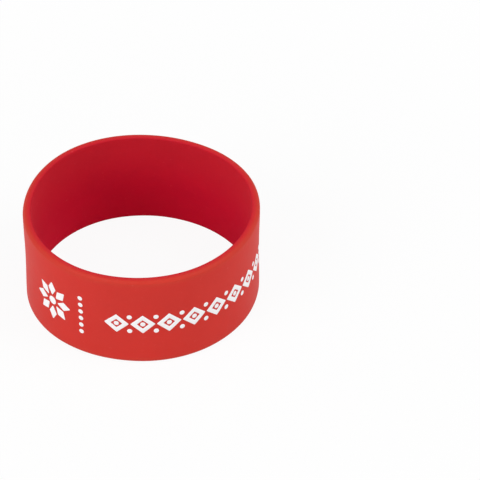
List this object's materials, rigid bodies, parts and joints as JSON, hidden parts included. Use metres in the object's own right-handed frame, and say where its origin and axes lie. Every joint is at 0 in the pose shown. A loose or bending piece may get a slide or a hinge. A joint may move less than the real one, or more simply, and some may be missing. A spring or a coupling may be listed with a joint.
{
  "type": "shaker strap",
  "caption": "Wide elastic silicone band with softly rounded lips, stretched round hand shakers to hold them side by side.",
  "frame": {"origin": "centre of the band's base, on the plane that its lower lip stands on", "axes": "+Z along the band's axis, from the lower lip to the upper lip; -Y towards the picture's viewer"},
  "size_m": [0.068, 0.068, 0.03],
  "materials": {
    "silicone": "satin",
    "print_ink": "satin"
  },
  "bodies": {
    "root": {"silicone_band": "silicone"}
  },
  "joints": []
}
